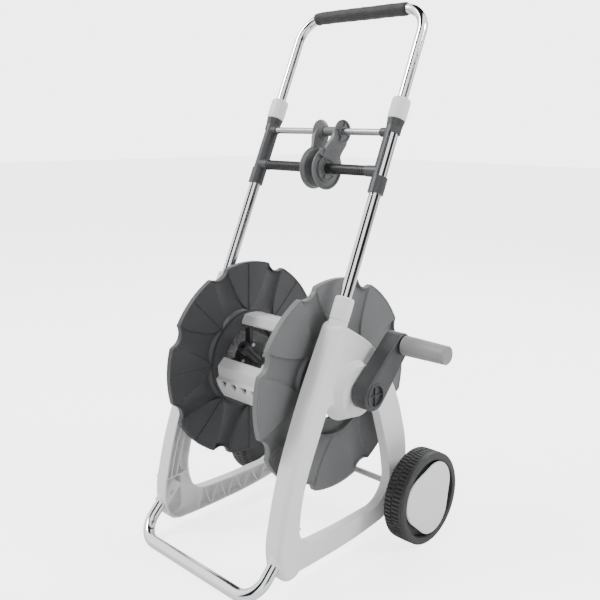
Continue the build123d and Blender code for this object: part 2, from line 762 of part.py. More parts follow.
def flange(boss_reach):
    """One flange: rim, web, ribs, hub ring, spokes and a boss that reaches towards the side frame."""
    with BuildPart() as made:
        with BuildSketch(reel_plane(0)):
            add(flange_outline(0))
            add(flange_outline(rim_wall), mode=Mode.SUBTRACT)
        extrude(amount=flange_rim)
        with BuildSketch(reel_plane((flange_rim - flange_web) / 2)):
            add(flange_outline(rim_wall / 2))
            Circle(hub_ring_outer - hub_wall, mode=Mode.SUBTRACT)
        extrude(amount=flange_web)
        with BuildSketch(reel_plane(-hub_step)):
            Circle(hub_ring_outer)
            Circle(hub_ring_outer - hub_wall, mode=Mode.SUBTRACT)
            Circle(hub_ring_inner + hub_wall)
            Circle(hub_ring_inner, mode=Mode.SUBTRACT)
        extrude(amount=hub_step + (flange_rim + flange_web) / 2)
        with BuildSketch(reel_plane(-hub_step)):
            Circle(hub_ring_outer - 1)
            Circle(hub_ring_inner + 1, mode=Mode.SUBTRACT)
        extrude(amount=hub_plate)
        with BuildSketch(reel_plane(-hub_step)):
            with PolarLocations((hub_ring_inner + boss_radius) / 2, spoke_count):
                Rectangle(hub_ring_inner - boss_radius + 4, spoke_width)
        extrude(amount=hub_step + (flange_rim + flange_web) / 2)
        with BuildSketch(reel_plane(0)):
            with PolarLocations((hub_ring_outer + flange_radius) / 2 - 2, notch_count):
                Rectangle(flange_radius - hub_ring_outer, frame_rib)
        extrude(amount=flange_rim / 2)
        with BuildSketch(reel_plane(-hub_step)):
            Circle(boss_radius)
        extrude(amount=hub_step + boss_reach)
        with BuildSketch(reel_plane(-hub_step - 1)):
            Circle(journal_radius + seat_gap)
            with PolarLocations(hub_screw_circle, spoke_count):
                Circle(slat_screw_radius + seat_gap)
            for radius, angle in slat_screw_spots:
                with Locations(reel_point(radius, angle)):
                    Circle(slat_screw_radius + seat_gap)
        extrude(amount=hub_step + boss_reach + 2, mode=Mode.SUBTRACT)
    return made.part


right_place = Location((flange_right_inner, 0, 0))
left_place = Location((flange_left_inner, 0, 0))
boss_end = frame_inner - 4
save(right_place * flange(boss_end - flange_right_inner), "right_flange")
save(left_place * mirror(flange(boss_end + flange_left_inner), about=Plane.YZ), "left_flange")

slat_left = flange_left_inner + hub_step + seat_gap
slat_right = flange_right_inner - hub_step - seat_gap
slat_line = (
    (73, -29.5),
    (86, -19),
    (86, -12),
    (86, -5),
    (93.5, -3),
    (93.5, 6),
    (93.5, 15),
    (93.5, 24),
    (82, 31),
)
scale_slat = slat_outer / 88.0


tooth_pitch = (slat_right - slat_left - 40) / (slat_tooth_count - 1)


def hub_slat(middle):
    """Curved board between the flanges, with a bevelled front edge, a raised lip and a row of teeth."""
    outer = [reel_point((radius + slat_wall / 2) * scale_slat, middle + turn) for radius, turn in slat_line]
    inner = [reel_point((radius - slat_wall / 2) * scale_slat, middle + turn) for radius, turn in slat_line]
    outwards = Vector(0, *reel_point(1, middle + 1))
    with BuildPart() as slat:
        with BuildSketch(reel_plane(slat_left)):
            with BuildLine():
                Polyline(*outer, *reversed(inner), close=True)
            make_face()
        extrude(amount=slat_right - slat_left)
        for start in (slat_left, slat_right - 20):
            with BuildSketch(reel_plane(start)):
                for radius, turn in slat_screw_turns:
                    with Locations(reel_point(radius, middle + turn)):
                        Circle(slat_screw_radius + 3)
            extrude(amount=20)
        with BuildSketch(reel_plane(slat_left - 1)):
            for radius, turn in slat_screw_turns:
                with Locations(reel_point(radius, middle + turn)):
                    Circle(slat_screw_radius + seat_gap)
        extrude(amount=slat_right - slat_left + 2, mode=Mode.SUBTRACT)
        tooth_plane = Plane(
            origin=Vector((slat_left + slat_right) / 2, reel_y, reel_z) + outwards * 70,
            x_dir=(1, 0, 0),
            z_dir=outwards,
        )
        with BuildSketch(tooth_plane):
            with GridLocations(tooth_pitch, 1, slat_tooth_count, 1):
                RegularPolygon(slat_tooth_size / 3**0.5, 3, rotation=-90)
        extrude(amount=40, mode=Mode.SUBTRACT)
    return slat.part


for index in range(slat_count):
    save(hub_slat(slat_first_angle - 360.0 / slat_count * index), f"hub_slat_{index + 1}")


def screw(start, shank_end, point, radius):
    """Pan-head screw along X: its head ends at start and its shank runs to shank_end."""
    direction = 1 if shank_end > start else -1
    plane = Plane(origin=(start, reel_y + point[0], reel_z + point[1]), x_dir=(0, 1, 0), z_dir=(1, 0, 0))
    with BuildPart() as made:
        with BuildSketch(plane):
            Circle(radius * 1.9)
        extrude(amount=-direction * 2.2)
        with BuildSketch(plane):
            Circle(radius)
        extrude(amount=shank_end - start)
    return made.part


screws = []
for radius, angle in slat_screw_spots:
    point = reel_point(radius, angle)
    right_seat = flange_right_inner - hub_step + hub_plate + seat_gap
    left_seat = flange_left_inner + hub_step - hub_plate - seat_gap
    screws.append(screw(right_seat, right_seat - 20, point, slat_screw_radius))
    screws.append(screw(left_seat, left_seat + 20, point, slat_screw_radius))
save(Compound(children=screws), "slat_screws")

# ---------------------------------------------------------------- shafts, bushes and water fittings
shaft_disc_radius = 34.0
shaft_disc = 4.0
crank_socket_end = 205.0
right_hub = flange_right_inner - hub_step - seat_gap
left_hub = flange_left_inner + hub_step + seat_gap
shaft_reach = crank_inner + 2
inlet_start = 151.0
hex_radius = 11.0
with BuildPart() as crank_shaft:
    with BuildSketch(reel_plane(right_hub - shaft_disc)):
        Circle(shaft_disc_radius)
        with PolarLocations(hub_screw_circle, spoke_count):
            Circle(slat_screw_radius + seat_gap, mode=Mode.SUBTRACT)
    extrude(amount=shaft_disc)
    with BuildSketch(reel_plane(right_hub - shaft_disc)):
        Circle(journal_radius)
    extrude(amount=shaft_reach - right_hub + shaft_disc)
    with BuildSketch(reel_plane(shaft_reach)):
        RegularPolygon(hex_radius, 6)
    extrude(amount=crank_socket_end - shaft_reach)
    with BuildSketch(reel_plane(crank_socket_end)):
        Circle(3.1)
    extrude(amount=-22, mode=Mode.SUBTRACT)
save(crank_shaft.part, "crank_shaft")

with BuildPart() as water_shaft:
    with BuildSketch(reel_plane(left_hub + shaft_disc)):
        Circle(shaft_disc_radius)
        with PolarLocations(hub_screw_circle, spoke_count):
            Circle(slat_screw_radius + seat_gap, mode=Mode.SUBTRACT)
    extrude(amount=-shaft_disc)
    with BuildSketch(reel_plane(left_hub + shaft_disc)):
        Circle(journal_radius)
    extrude(amount=-(shaft_reach + left_hub + shaft_disc - 2))
    with BuildSketch(reel_plane(left_hub + shaft_disc + 1)):
        Circle(inlet_bore)
    extrude(amount=-120, mode=Mode.SUBTRACT)
    with BuildSketch(reel_plane(-inlet_start)):
        Circle(inlet_radius + 0.2)
    extrude(amount=-60, mode=Mode.SUBTRACT)
save(water_shaft.part, "water_shaft")

hub_screws = []
for index in range(spoke_count):
    point = reel_point(hub_screw_circle, 360.0 / spoke_count * index)
    right_seat = right_hub - shaft_disc - seat_gap
    left_seat = left_hub + shaft_disc + seat_gap
    hub_screws.append(screw(right_seat, right_seat + 16, point, slat_screw_radius))
    hub_screws.append(screw(left_seat, left_seat - 16, point, slat_screw_radius))
save(Compound(children=hub_screws), "hub_screws")

for side, sign in sides:
    with BuildPart() as bush:
        with BuildSketch(reel_plane(sign * (frame_inner + 0.9))):
            Circle(journal_radius + bush_wall)
        extrude(amount=sign * 34)
        with BuildSketch(reel_plane(sign * (frame_inner - 2))):
            Circle(hub_boss_radius)
        extrude(amount=sign * 2.9)
        with BuildSketch(reel_plane(sign * (frame_inner - 3))):
            Circle(journal_radius + running_gap)
        extrude(amount=sign * 40, mode=Mode.SUBTRACT)
    save(bush.part, f"{side}_reel_bush")

seal_spots = (inlet_start + 8, inlet_start + 16)
nipple = (
    (0, inlet_start + 0.5),
    (inlet_radius, inlet_start + 0.5),
    (inlet_radius, seal_spots[0] - 0.9),
    (inlet_radius - 1.4, seal_spots[0] - 0.9),
    (inlet_radius - 1.4, seal_spots[0] + 0.9),
    (inlet_radius, seal_spots[0] + 0.9),
    (inlet_radius, seal_spots[1] - 0.9),
    (inlet_radius - 1.4, seal_spots[1] - 0.9),
    (inlet_radius - 1.4, seal_spots[1] + 0.9),
    (inlet_radius, seal_spots[1] + 0.9),
    (inlet_radius, shaft_reach + 0.4),
    (15.5, shaft_reach + 0.4),
    (15.5, shaft_reach + 9),
    (11.0, shaft_reach + 11),
    (11.0, inlet_reach - 24),
    (8.6, inlet_reach - 22),
    (8.6, inlet_reach - 12),
    (7.0, inlet_reach - 11),
    (7.0, inlet_reach - 8),
    (8.6, inlet_reach - 7),
    (8.6, inlet_reach - 3),
    (7.6, inlet_reach),
    (0, inlet_reach),
)
inlet_plane = Plane(origin=(0, reel_y, reel_z), x_dir=(0, 1, 0), z_dir=(0, 0, 1))
with BuildPart() as inlet_connector:
    with BuildSketch(inlet_plane):
        with BuildLine():
            Polyline(*nipple, close=True)
        make_face()
    revolve(axis=Axis((0, reel_y, reel_z), (1, 0, 0)))
    with BuildSketch(reel_plane(-inlet_start)):
        Circle(inlet_bore)
    extrude(amount=-inlet_reach, mode=Mode.SUBTRACT)
save(inlet_connector.part, "inlet_connector")

seals = [reel_plane(-spot).location * Torus(inlet_radius - 0.6, 0.72) for spot in seal_spots]
save(Compound(children=seals), "inlet_seals")

# The elbow turns the water outwards through the gap between two slats.
elbow_angle = slat_first_angle - 60.0
elbow_x = left_hub + shaft_disc + seat_gap
elbow_out = Vector(0, *reel_point(1, elbow_angle))
elbow_plane = Plane(origin=(elbow_x + 12, reel_y, reel_z), x_dir=(1, 0, 0), z_dir=elbow_out)
with BuildPart() as outlet_elbow:
    with BuildSketch(reel_plane(elbow_x)):
        Circle(inlet_radius)
    extrude(amount=12)
    with Locations((elbow_x + 12, reel_y, reel_z)):
        Sphere(inlet_radius)
    with BuildSketch(elbow_plane):
        Circle(inlet_radius)
    extrude(amount=34)
    with BuildSketch(elbow_plane.offset(34)):
        Circle(inlet_radius + 3)
    extrude(amount=18)
    with BuildSketch(elbow_plane):
        Circle(inlet_bore)
    extrude(amount=60, mode=Mode.SUBTRACT)
    with BuildSketch(reel_plane(elbow_x - 1)):
        Circle(inlet_bore)
    extrude(amount=13, mode=Mode.SUBTRACT)
save(outlet_elbow.part, "outlet_elbow")

# ---------------------------------------------------------------- crank
crank_face = crank_outer
cap_recess = 7.5
socket_radius_outer = 16.0
crank_end = reel_point(crank_length, crank_angle)
with BuildPart() as crank_arm:
    with BuildSketch(reel_plane(crank_inner)):
        Circle(crank_hub_radius)
        with Locations(crank_end):
            Circle(crank_end_radius)
        make_hull()
    extrude(amount=crank_face - crank_inner)
    fillet(crank_arm.faces().sort_by(Axis.X)[-1].edges(), 4.0)
    with BuildSketch(reel_plane(crank_inner - 1)):
        Circle(crank_hub_radius - crank_wall)
        with Locations(crank_end):
            Circle(crank_end_radius - crank_wall)
        make_hull()
    extrude(amount=crank_face - cap_recess - crank_wall - crank_inner + 1, mode=Mode.SUBTRACT)
    with BuildSketch(reel_plane(crank_inner + 3)):
        Circle(socket_radius_outer)
        with Locations(crank_end):
            Circle(crank_pin_radius + 5)
    extrude(amount=crank_face - crank_inner - 7)
    with BuildSketch(reel_plane(crank_inner + 8)):
        with PolarLocations(crank_length / 2, 1, crank_angle):
            Rectangle(crank_length, frame_rib)
    extrude(amount=crank_face - crank_inner - 12)
    with BuildSketch(reel_plane(crank_face - 2)):
        with Locations(crank_end):
            Circle(crank_pin_radius + 6)
    extrude(amount=4.5)
    with BuildSketch(reel_plane(crank_face)):
        Circle(crank_cap_radius + seat_gap)
    extrude(amount=-cap_recess, mode=Mode.SUBTRACT)
    with BuildSketch(reel_plane(crank_inner)):
        RegularPolygon(hex_radius + seat_gap, 6)
    extrude(amount=crank_socket_end + 0.2 - crank_inner, mode=Mode.SUBTRACT)
    with BuildSketch(reel_plane(crank_inner)):
        Circle(3.2)
        with Locations(crank_end):
            Circle(crank_pin_radius + seat_gap)
    extrude(amount=crank_face - crank_inner + 6, mode=Mode.SUBTRACT)
save(crank_arm.part, "crank_arm")

cap_floor = crank_face - cap_recess
save(screw(cap_floor + seat_gap, cap_floor - 20, (0, 0), 3.0), "crank_screw")
with BuildPart() as crank_cap:
    with BuildSketch(reel_plane(cap_floor + seat_gap)):
        Circle(crank_cap_radius)
        Circle(crank_cap_radius - 3.5, mode=Mode.SUBTRACT)
    extrude(amount=cap_recess + 1.5)
    chamfer(crank_cap.faces().sort_by(Axis.X)[-1].edges(), 0.6)
    with BuildSketch(reel_plane(cap_floor + 2.8)):
        Circle(crank_cap_radius - 2)
    extrude(amount=1)
    with BuildSketch(reel_plane(cap_floor + 2.8)):
        Rectangle(2 * crank_cap_radius - 5, 1.6)
        Rectangle(1.6, 2 * crank_cap_radius - 5)
    extrude(amount=cap_recess - 3.4)
save(crank_cap.part, "crank_cap")

crank_end_plane = Plane(
    origin=(crank_inner + 2.9, reel_y + crank_end[0], reel_z + crank_end[1]),
    x_dir=(0, 1, 0),
    z_dir=(1, 0, 0),
)
pin_length = crank_face + 3 + crank_grip_length - 10 - crank_inner - 2.9
grip_start = crank_face + 3 - crank_inner - 2.9
with BuildPart() as crank_grip_pin:
    with BuildSketch(crank_end_plane):
        Circle(crank_pin_radius + 3.5)
    extrude(amount=-2.5)
    with BuildSketch(crank_end_plane):
        Circle(crank_pin_radius)
    extrude(amount=pin_length)
    with BuildSketch(crank_end_plane.offset(pin_length - 10)):
        Circle(crank_pin_radius + 2)
    extrude(amount=5)
save(crank_grip_pin.part, "crank_grip_pin")
with BuildPart() as crank_grip:
    with BuildSketch(crank_end_plane.offset(grip_start)):
        Circle(crank_grip_root_radius)
    with BuildSketch(crank_end_plane.offset(grip_start + crank_grip_length)):
        Circle(crank_grip_tip_radius)
    loft()
    fillet(crank_grip.faces().sort_by(Axis.X)[-1].edges(), 2.0)
    fillet(crank_grip.faces().sort_by(Axis.X)[0].edges(), 2.0)
    with BuildSketch(crank_end_plane.offset(grip_start)):
        Circle(crank_pin_radius + running_gap)
    extrude(amount=pin_length - grip_start + 0.4, mode=Mode.SUBTRACT)
    with BuildSketch(crank_end_plane.offset(pin_length - 10.3)):
        Circle(crank_pin_radius + 2.3)
    extrude(amount=5.6, mode=Mode.SUBTRACT)
save(crank_grip.part, "crank_grip")

# ---------------------------------------------------------------- wheels
wheel_inner = wheel_outer - wheel_width
hub_start = wheel_inner - 7
hub_end = wheel_outer - 12
clip_gap = 0.4
axle_half = hub_end + clip_gap + 5
save(ring(wheel_plane(-axle_half), 2 * axle_half, axle_radius), "rear_axle")
clips = []
tyre_section = (
    (wheel_inner, wheel_radius - tyre_depth + seat_gap),
    (wheel_inner, wheel_radius - 4),
    (wheel_inner + 3, wheel_radius),
    (wheel_inner + wheel_width / 2 - 2.5, wheel_radius),
    (wheel_inner + wheel_width / 2 - 1.5, wheel_radius - 3),
    (wheel_inner + wheel_width / 2 + 1.5, wheel_radius - 3),
    (wheel_inner + wheel_width / 2 + 2.5, wheel_radius),
    (wheel_outer - 3, wheel_radius),
    (wheel_outer, wheel_radius - 4),
    (wheel_outer, wheel_radius - tyre_depth - rim_lip),
    (wheel_outer - 2, wheel_radius - tyre_depth - rim_lip),
    (wheel_outer - 2, wheel_radius - tyre_depth + seat_gap),
)
rim_radius = wheel_radius - tyre_depth
web_start = wheel_outer - rim_recess - rim_web
rim_section = (
    (hub_start, axle_radius + running_gap),
    (hub_start, wheel_hub_radius),
    (web_start, wheel_hub_radius + 2),
    (web_start, rim_radius - rim_lip - 2),
    (wheel_inner + 1, rim_radius - rim_lip),
    (wheel_inner + 1, rim_radius),
    (wheel_outer - 2 - seat_gap, rim_radius),
    (wheel_outer - 2 - seat_gap, rim_radius - rim_lip),
    (web_start + rim_web, rim_radius - rim_lip - 2),
    (web_start + rim_web, wheel_hub_radius + 1),
    (hub_end, wheel_hub_radius),
    (hub_end, axle_radius + running_gap),
)
corner_offset = 2 * (cap_corner_radius - cap_side_radius)
corner_round = cap_corner_radius - corner_offset


def turned(section, side):
    """Solid of revolution round the wheel axle from (x, radius) points, on one side of the cart."""
    with BuildPart() as made:
        with BuildSketch(Plane(origin=(0, wheel_y, wheel_radius), x_dir=(1, 0, 0), z_dir=(0, -1, 0))):
            with BuildLine():
                Polyline(*[(side * x, radius) for x, radius in section], close=True)
            make_face()
        revolve(axis=Axis((0, wheel_y, wheel_radius), (1, 0, 0)))
    return made.part


for side, sign in sides:
    save(turned(tyre_section, sign), f"{side}_tyre")
    save(turned(rim_section, sign), f"{side}_wheel_rim")
    with BuildPart() as wheel_cap:
        with BuildSketch(wheel_plane(sign * (wheel_outer - cap_thickness))):
            with PolarLocations(corner_offset, 3, cap_turn):
                Circle(corner_round)
            make_hull()
        extrude(amount=sign * cap_thickness)
        outer_face = wheel_cap.faces().sort_by(Axis.X)[-1 if sign > 0 else 0]
        fillet(outer_face.edges(), cap_thickness * 0.6)
        with BuildSketch(wheel_plane(sign * (wheel_outer - cap_thickness))):
            Circle(wheel_hub_radius + 3.5)
            Circle(wheel_hub_radius + seat_gap, mode=Mode.SUBTRACT)
        extrude(amount=-sign * (rim_recess - cap_thickness - 1))
    save(wheel_cap.part, f"{side}_wheel_cap")
    clip_plane = wheel_plane(sign * (hub_end + clip_gap))
    clips.append(ring(clip_plane, sign * 2, axle_radius + 4, axle_radius + running_gap))
save(Compound(children=clips), "axle_clips")
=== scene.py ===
"""Looks of the garden hose reel cart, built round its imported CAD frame.

Each section covers one piece or group of like pieces, in the order in which the cart goes together.
Sizes are in metres in the frame's own axes: +X towards the crank, +Y towards the wheels, +Z up.
"""

from math import cos, pi, radians, sin

import bpy
import numpy as np
from mathutils import Matrix, Vector


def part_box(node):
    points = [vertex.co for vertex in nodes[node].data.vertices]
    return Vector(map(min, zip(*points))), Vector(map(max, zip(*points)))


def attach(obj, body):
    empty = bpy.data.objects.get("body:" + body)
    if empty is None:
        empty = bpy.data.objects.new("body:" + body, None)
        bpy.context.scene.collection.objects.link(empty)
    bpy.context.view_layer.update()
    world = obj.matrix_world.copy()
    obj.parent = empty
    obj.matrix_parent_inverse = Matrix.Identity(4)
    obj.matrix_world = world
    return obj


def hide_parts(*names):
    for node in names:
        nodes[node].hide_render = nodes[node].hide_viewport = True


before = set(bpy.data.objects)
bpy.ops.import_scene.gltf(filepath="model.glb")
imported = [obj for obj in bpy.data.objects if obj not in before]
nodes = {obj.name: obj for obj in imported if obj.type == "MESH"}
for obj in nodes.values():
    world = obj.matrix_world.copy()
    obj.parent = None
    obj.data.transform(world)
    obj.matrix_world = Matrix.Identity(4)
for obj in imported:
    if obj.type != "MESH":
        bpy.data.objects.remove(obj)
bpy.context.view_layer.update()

# ------------------------------------------------------------------ camera, light and floor
# The camera stands in front of the foot bar, well to the crank's side and a little above the hub.
view_azimuth, view_drop, view_roll = radians(43.087), radians(8.393), radians(0.621)
forward = Vector((-sin(view_azimuth) * cos(view_drop), cos(view_azimuth) * cos(view_drop), -sin(view_drop)))
level = Vector((cos(view_azimuth), sin(view_azimuth), 0))
above = level.cross(forward)
view_right = level * cos(view_roll) + above * sin(view_roll)
view_up = above * cos(view_roll) - level * sin(view_roll)
camera_data = bpy.data.cameras.new("camera")
camera_data.sensor_width = 36.0
camera_data.lens = 47.03
camera_data.shift_x = -0.0343
camera_data.shift_y = -0.0991
camera_data.clip_end = 60.0
camera = bpy.data.objects.new("camera", camera_data)
bpy.context.collection.objects.link(camera)
camera.matrix_world = Matrix(
    (
        (view_right.x, view_up.x, -forward.x, 1.01556),
        (view_right.y, view_up.y, -forward.y, -1.02627),
        (view_right.z, view_up.z, -forward.z, 0.79331),
        (0, 0, 0, 1),
    )
)
bpy.context.scene.camera = camera


def soft_light(name, place, aim, size, power):
    """Adds a square area light at place that faces aim."""
    data = bpy.data.lights.new(name, "AREA")
    data.energy = power
    data.size = size
    lamp = bpy.data.objects.new(name, data)
    bpy.context.collection.objects.link(lamp)
    lamp.location = place
    lamp.rotation_euler = (Vector(aim) - Vector(place)).to_track_quat("-Z", "Y").to_euler()
    return lamp


soft_light("key_light", (-1.5, -1.7, 2.9), (0, 0, 0.45), 0.9, 88)
soft_light("side_light", (2.2, 0.9, 2.3), (0, 0, 0.4), 0.8, 52)
soft_light("back_light", (-0.6, 2.3, 2.2), (0, 0, 0.6), 1.5, 34)

floor_mesh = bpy.data.meshes.new("floor")
floor_mesh.from_pydata([(-14, -14, 0), (14, -14, 0), (14, 14, 0), (-14, 14, 0)], [], [(0, 1, 2, 3)])
floor = bpy.data.objects.new("floor", floor_mesh)
bpy.context.collection.objects.link(floor)
floor_paint = bpy.data.materials.new("floor_paint")
floor_paint.use_nodes = True
floor_shader = floor_paint.node_tree.nodes["Principled BSDF"]
floor_shader.inputs["Base Color"].default_value = (0.93, 0.93, 0.93, 1)
floor_shader.inputs["Roughness"].default_value = 0.85
floor_shader.inputs["Emission Color"].default_value = (1, 1, 1, 1)
floor_glow = floor_paint.node_tree.nodes.new("ShaderNodeMath")
floor_glow.operation = "MULTIPLY"
floor_glow.inputs[1].default_value = 3.2
floor_seen = floor_paint.node_tree.nodes.new("ShaderNodeLightPath")
floor_paint.node_tree.links.new(floor_seen.outputs["Is Camera Ray"], floor_glow.inputs[0])
floor_paint.node_tree.links.new(floor_glow.outputs["Value"], floor_shader.inputs["Emission Strength"])
floor_mesh.materials.append(floor_paint)

# A white studio wall behind the cart, a dimmer pale light all round it, and broad light and dark stretches
# for bright metal to mirror.
world = bpy.data.worlds.new("studio")
bpy.context.scene.world = world
world.use_nodes = True
sky = world.node_tree
sky.nodes.clear()
coords = sky.nodes.new("ShaderNodeTexCoord")
stripes = sky.nodes.new("ShaderNodeTexWave")
stripes.wave_type = "BANDS"
stripes.bands_direction = "X"
stripes.inputs["Scale"].default_value = 0.24
stripes.inputs["Distortion"].default_value = 0.0
stripes.inputs["Phase Offset"].default_value = 0.6
ramp = sky.nodes.new("ShaderNodeValToRGB")
ramp.color_ramp.elements[0].position = 0.40
ramp.color_ramp.elements[0].color = (0.015, 0.015, 0.017, 1)
ramp.color_ramp.elements[1].position = 0.66
ramp.color_ramp.elements[1].color = (1.9, 1.9, 1.9, 1)
mirrored = sky.nodes.new("ShaderNodeBackground")
seen = sky.nodes.new("ShaderNodeBackground")
seen.inputs["Color"].default_value = (0.97, 0.97, 0.97, 1)
seen.inputs["Strength"].default_value = 0.62
wall = sky.nodes.new("ShaderNodeBackground")
wall.inputs["Color"].default_value = (1, 1, 1, 1)
wall.inputs["Strength"].default_value = 4.5
light_path = sky.nodes.new("ShaderNodeLightPath")
either = sky.nodes.new("ShaderNodeMixShader")
behind = sky.nodes.new("ShaderNodeMixShader")
sky_out = sky.nodes.new("ShaderNodeOutputWorld")
sky.links.new(coords.outputs["Generated"], stripes.inputs["Vector"])
sky.links.new(stripes.outputs["Fac"], ramp.inputs["Fac"])
sky.links.new(ramp.outputs["Color"], mirrored.inputs["Color"])
sky.links.new(light_path.outputs["Is Glossy Ray"], either.inputs["Fac"])
sky.links.new(seen.outputs["Background"], either.inputs[1])
sky.links.new(mirrored.outputs["Background"], either.inputs[2])
sky.links.new(light_path.outputs["Is Camera Ray"], behind.inputs["Fac"])
sky.links.new(either.outputs["Shader"], behind.inputs[1])
sky.links.new(wall.outputs["Background"], behind.inputs[2])
sky.links.new(behind.outputs["Shader"], sky_out.inputs["Surface"])

# ------------------------------------------------------------------ foot bar
# A bent tube of chromed steel whose bar lies on the floor and whose legs push up into the side frames.


def mesh_piece(name, parts, material, body, smooth=True):
    """One mesh object from (points, faces) arrays. Faces are quads or triangles of row numbers."""
    points, faces, start = [], [], 0
    for part_points, part_faces in parts:
        points.append(part_points)
        faces += [tuple(int(corner) + start for corner in face if corner >= 0) for face in part_faces]
        start += len(part_points)
    mesh = bpy.data.meshes.new(name)
    mesh.from_pydata(np.concatenate(points).tolist(), [], faces)
    mesh.update()
    mesh.polygons.foreach_set("use_smooth", [smooth] * len(mesh.polygons))
    if smooth:
        mesh.set_sharp_from_angle(angle=radians(34))
    piece = bpy.data.objects.new(name, mesh)
    bpy.context.collection.objects.link(piece)
    mesh.materials.append(material)
    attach(piece, body)
    return piece


def grid_faces(rows, columns, wrap_rows, wrap_columns):
    """Quads of a grid of points, row by row; a wrapped direction joins its last line to its first."""
    row = np.arange(rows if wrap_rows else rows - 1)[:, None]
    column = np.arange(columns if wrap_columns else columns - 1)[None, :]
    next_row, next_column = (row + 1) % rows, (column + 1) % columns
    corners = (
        row * columns + column,
        next_row * columns + column,
        next_row * columns + next_column,
        row * columns + next_column,
    )
    filled = [np.broadcast_to(corner, (len(row), column.shape[1])) for corner in corners]
    return np.stack(filled, -1).reshape(-1, 4)


def rounded_path(corners, radius, arc_steps=14):
    """Points along straight runs whose corners are circular arcs: each arc is the turn of a fixed
    radius that touches both runs."""
    corners = np.array(corners, float)
    points = [corners[0]]
    for before, corner, after in zip(corners[:-2], corners[1:-1], corners[2:]):
        incoming = (before - corner) / np.linalg.norm(before - corner)
        outgoing = (after - corner) / np.linalg.norm(after - corner)
        half = np.arccos(np.clip(incoming @ outgoing, -1, 1)) / 2
        middle = (incoming + outgoing) / np.linalg.norm(incoming + outgoing)
        centre = corner + middle * radius / np.sin(half)
        first = corner + incoming * radius / np.tan(half) - centre
        last = corner + outgoing * radius / np.tan(half) - centre
        share = np.linspace(0, 1, arc_steps)[:, None]
        sweep = np.arccos(np.clip(first @ last / radius**2, -1, 1))
        blend = np.sin((1 - share) * sweep) * first + np.sin(share * sweep) * last
        points += list(centre + blend / np.sin(sweep))
    points.append(corners[-1])
    return np.array(points)


def carried_ring(path, radii, sides=40):
    """A circle carried along a path: every point is path + radius * (cos v * across + sin v * up), where
    across and up stand square to the path. The path lies in one plane."""
    path = np.asarray(path, float)
    radii = np.broadcast_to(radii, len(path))
    along = np.gradient(path, axis=0)
    along /= np.linalg.norm(along, axis=1)[:, None]
    normal = np.cross(path[-1] - path[0], path[len(path) // 2] - path[0])
    if np.linalg.norm(normal) < 1e-9:
        normal = np.cross(along[0], (0.3, 0.5, 0.8))
    normal = normal / np.linalg.norm(normal)
    across = np.cross(along, normal)
    turn = np.linspace(0, 2 * pi, sides, endpoint=False)[None, :, None]
    return path[:, None] + radii[:, None, None] * (np.cos(turn) * across[:, None] + np.sin(turn) * normal)


def tube(path, outer, inner, sides=40):
    """Closed tube wall: the outer skin along the path, a flat end, the inner skin back and a flat end."""
    skin = carried_ring(path, outer, sides)
    bore = carried_ring(path, inner, sides)[::-1]
    wall = np.concatenate([skin, bore])
    return wall.reshape(-1, 3), grid_faces(len(wall), sides, True, True)[:, ::-1]


def shader_group(name, values):
    """New node group with float inputs from a dictionary of names and starting values."""
    group = bpy.data.node_groups.new(name, "ShaderNodeTree")
    for label, value in values.items():
        socket = group.interface.new_socket(label, in_out="INPUT", socket_type="NodeSocketFloat")
        socket.default_value = value
    return group


def add_node(tree, kind, **inputs):
    """Adds a node and sets its inputs by name, with underscores for spaces."""
    made = tree.nodes.new(kind)
    for label, value in inputs.items():
        made.inputs[label.replace("_", " ")].default_value = value
    return made


# Handling marks: broad noise that changes roughness, and fine noise for the bump.
wear = shader_group(
    "handling_marks",
    {"Broad Scale": 12.0, "Fine Scale": 260.0, "Rough Low": 0.1, "Rough High": 0.2},
)
wear.interface.new_socket("Roughness", in_out="OUTPUT", socket_type="NodeSocketFloat")
wear.interface.new_socket("Height", in_out="OUTPUT", socket_type="NodeSocketFloat")
wear_in = wear.nodes.new("NodeGroupInput")
wear_out = wear.nodes.new("NodeGroupOutput")
wear_place = wear.nodes.new("ShaderNodeTexCoord")
broad = add_node(wear, "ShaderNodeTexNoise", Detail=4.0, Roughness=0.6)
fine = add_node(wear, "ShaderNodeTexNoise", Detail=2.0, Roughness=0.5)
spread = wear.nodes.new("ShaderNodeMapRange")
spread.inputs["From Min"].default_value = 0.35
spread.inputs["From Max"].default_value = 0.65
wear.links.new(wear_place.outputs["Object"], broad.inputs["Vector"])
wear.links.new(wear_place.outputs["Object"], fine.inputs["Vector"])
wear.links.new(wear_in.outputs["Broad Scale"], broad.inputs["Scale"])
wear.links.new(wear_in.outputs["Fine Scale"], fine.inputs["Scale"])
wear.links.new(broad.outputs["Fac"], spread.inputs["Value"])
wear.links.new(wear_in.outputs["Rough Low"], spread.inputs["To Min"])
wear.links.new(wear_in.outputs["Rough High"], spread.inputs["To Max"])
wear.links.new(spread.outputs["Result"], wear_out.inputs["Roughness"])
wear.links.new(fine.outputs["Fac"], wear_out.inputs["Height"])


def bright_metal(name, colour, rough_low, rough_high, bump):
    """Plated or plain steel: handling marks change its gloss and a slight unevenness its reflections."""
    made = bpy.data.materials.new(name)
    made.use_nodes = True
    tree = made.node_tree
    shader = tree.nodes["Principled BSDF"]
    shader.inputs["Base Color"].default_value = (*colour, 1)
    shader.inputs["Metallic"].default_value = 1.0
    marks = tree.nodes.new("ShaderNodeGroup")
    marks.node_tree = wear
    marks.inputs["Rough Low"].default_value = rough_low
    marks.inputs["Rough High"].default_value = rough_high
    relief = add_node(tree, "ShaderNodeBump", Strength=bump, Distance=0.0002)
    tree.links.new(marks.outputs["Roughness"], shader.inputs["Roughness"])
    tree.links.new(marks.outputs["Height"], relief.inputs["Height"])
    tree.links.new(relief.outputs["Normal"], shader.inputs["Normal"])
    return made


